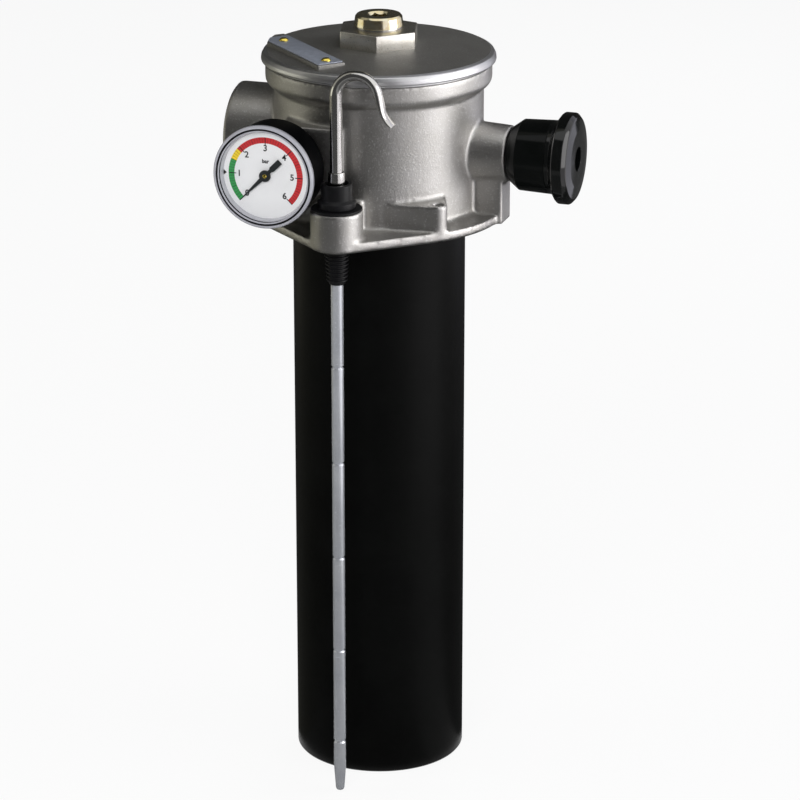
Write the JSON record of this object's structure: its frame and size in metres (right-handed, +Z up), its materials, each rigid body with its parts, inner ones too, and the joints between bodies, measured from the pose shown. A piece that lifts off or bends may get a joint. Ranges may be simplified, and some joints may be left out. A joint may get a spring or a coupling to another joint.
{
  "type": "tank top return filter",
  "caption": "Hydraulic tank top return filter with cast head, screwed cover, fill plug, pressure gauge, dipstick, breather and a long bowl with a pleated element.",
  "frame": {"origin": "centre of the face of the gasket that seats on the tank's top", "axes": "+Z up, out of the tank; +X along the ports, from the inlet towards the breather; -Y towards the gauge and the dipstick"},
  "size_m": [0.1554, 0.1275, 0.3433],
  "materials": {
    "cast": "satin",
    "gasket_fibre": "matte",
    "rubber": "matte",
    "plate": "brushed",
    "zinc_yellow": "bright plated",
    "steel": "bright",
    "black_plastic": "semi gloss",
    "dial_print": "matte",
    "needle_black": "satin",
    "clear": "clear",
    "bezel": "translucent",
    "brass": "machined",
    "black_paint": "semi gloss",
    "media": "pleated",
    "galvanised": "galvanised"
  },
  "bodies": {
    "head": {"tank_gasket": "gasket_fibre", "head_casting": "cast", "gauge_stem": "brass", "gauge_washer": "brass", "gauge_case": "black_plastic", "gauge_bourdon_tube": "brass", "gauge_movement": "brass", "gauge_dial": "dial_print", "gauge_lens": "clear", "gauge_bezel": "bezel", "dipstick_washer": "rubber", "breather_washer": "rubber", "breather_body": "black_plastic", "breather_media": "media", "breather_cap": "black_plastic", "bowl_seal": "rubber", "bowl_tube": "black_paint", "bowl_outlet": "galvanised", "element_bottom_cap": "galvanised", "element_seal": "rubber", "element_core": "galvanised", "element_media": "media", "element_top_cap": "galvanised", "element_handle": "steel", "bypass_cage": "galvanised", "bypass_spring": "steel", "hold_down_spring": "steel"},
    "cover_ring": {"cover_seal": "rubber"},
    "cover": {"cover": "cast", "rating_plate": "plate", "plate_rivets": "zinc_yellow"},
    "plug_washer": {"fill_plug_washer": "steel"},
    "plug": {"fill_plug": "zinc_yellow"},
    "bung": {"dipstick_bung": "rubber"},
    "dipstick": {"dipstick_rod": "steel", "dipstick_ferrule": "steel"},
    "needle": {"gauge_needle": "needle_black"},
    "poppet": {"bypass_poppet": "galvanised"}
  },
  "joints": [
    {"name": "cover_lift", "type": "slide", "parent": "head", "child": "cover_ring", "axis": [0, 0, 1], "range_m": [0, 0.009], "deforming": ["hold_down_spring"]},
    {"name": "cover_turn", "type": "hinge", "parent": "cover_ring", "child": "cover", "pos_m": [0, 0, 0.07], "axis": [0, 0, 1], "range_deg": [0, 1080]},
    {"name": "plug_lift", "type": "slide", "parent": "cover", "child": "plug_washer", "axis": [0, 0, 1], "range_m": [0, 0.0107]},
    {"name": "plug_turn", "type": "hinge", "parent": "plug_washer", "child": "plug", "pos_m": [0, 0, 0.085], "axis": [0, 0, 1], "range_deg": [0, 2880]},
    {"name": "dipstick_pull", "type": "slide", "parent": "head", "child": "bung", "axis": [0, 0, 1], "range_m": [0, 0.27]},
    {"name": "dipstick_turn", "type": "hinge", "parent": "bung", "child": "dipstick", "pos_m": [0.0009, -0.0599, 0.02], "axis": [0, 0, 1], "range_deg": [-180, 0]},
    {"name": "gauge_needle_swing", "type": "hinge", "parent": "head", "child": "needle", "pos_m": [-0.0288, -0.0689, 0.0311], "axis": [0, 1, 0], "range_deg": [0, 270]},
    {"name": "bypass_open", "type": "slide", "parent": "head", "child": "poppet", "axis": [0, 0, -1], "range_m": [0, 0.006], "deforming": ["bypass_spring"]}
  ],
  "couplings": [
    {"joint": "cover_lift", "follows": "cover_turn", "m_per_rad": 0.00047746},
    {"joint": "plug_lift", "follows": "plug_turn", "m_per_rad": 0.00021279}
  ]
}
